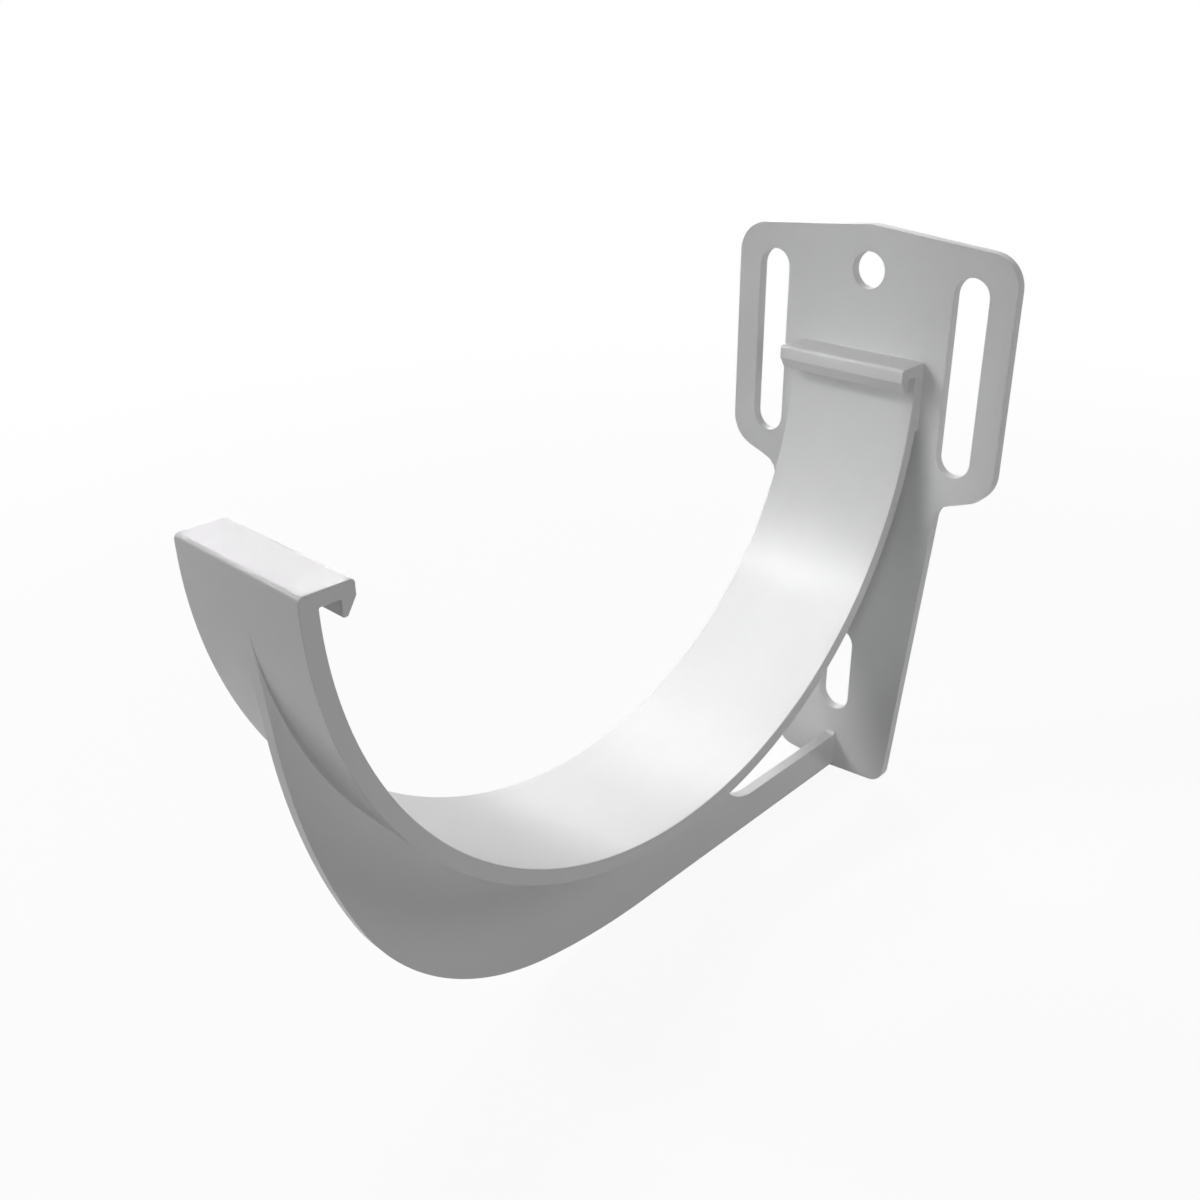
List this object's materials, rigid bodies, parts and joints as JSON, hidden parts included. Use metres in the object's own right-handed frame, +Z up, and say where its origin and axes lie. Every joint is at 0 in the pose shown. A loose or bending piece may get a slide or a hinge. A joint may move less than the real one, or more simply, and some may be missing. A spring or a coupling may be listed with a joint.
{
  "type": "half-round gutter bracket",
  "caption": "Plastic gutter bracket: a slotted fixing plate, a half-round band with a front lip and a rear catch that snap over the gutter, and a thin web that braces the band from below.",
  "frame": {"origin": "on the back face of the plate, in the plane of symmetry, level with the axis of the gutter seat", "axes": "+Y out of the plate's back, into the board it is fixed to, so the band reaches out along -Y; +Z up; +X along the gutter, to the right when seen from the front"},
  "size_m": [0.0582, 0.1322, 0.114],
  "materials": {
    "moulded_plastic": "satin"
  },
  "bodies": {
    "root": {"gutter_bracket": "moulded_plastic"}
  },
  "joints": []
}
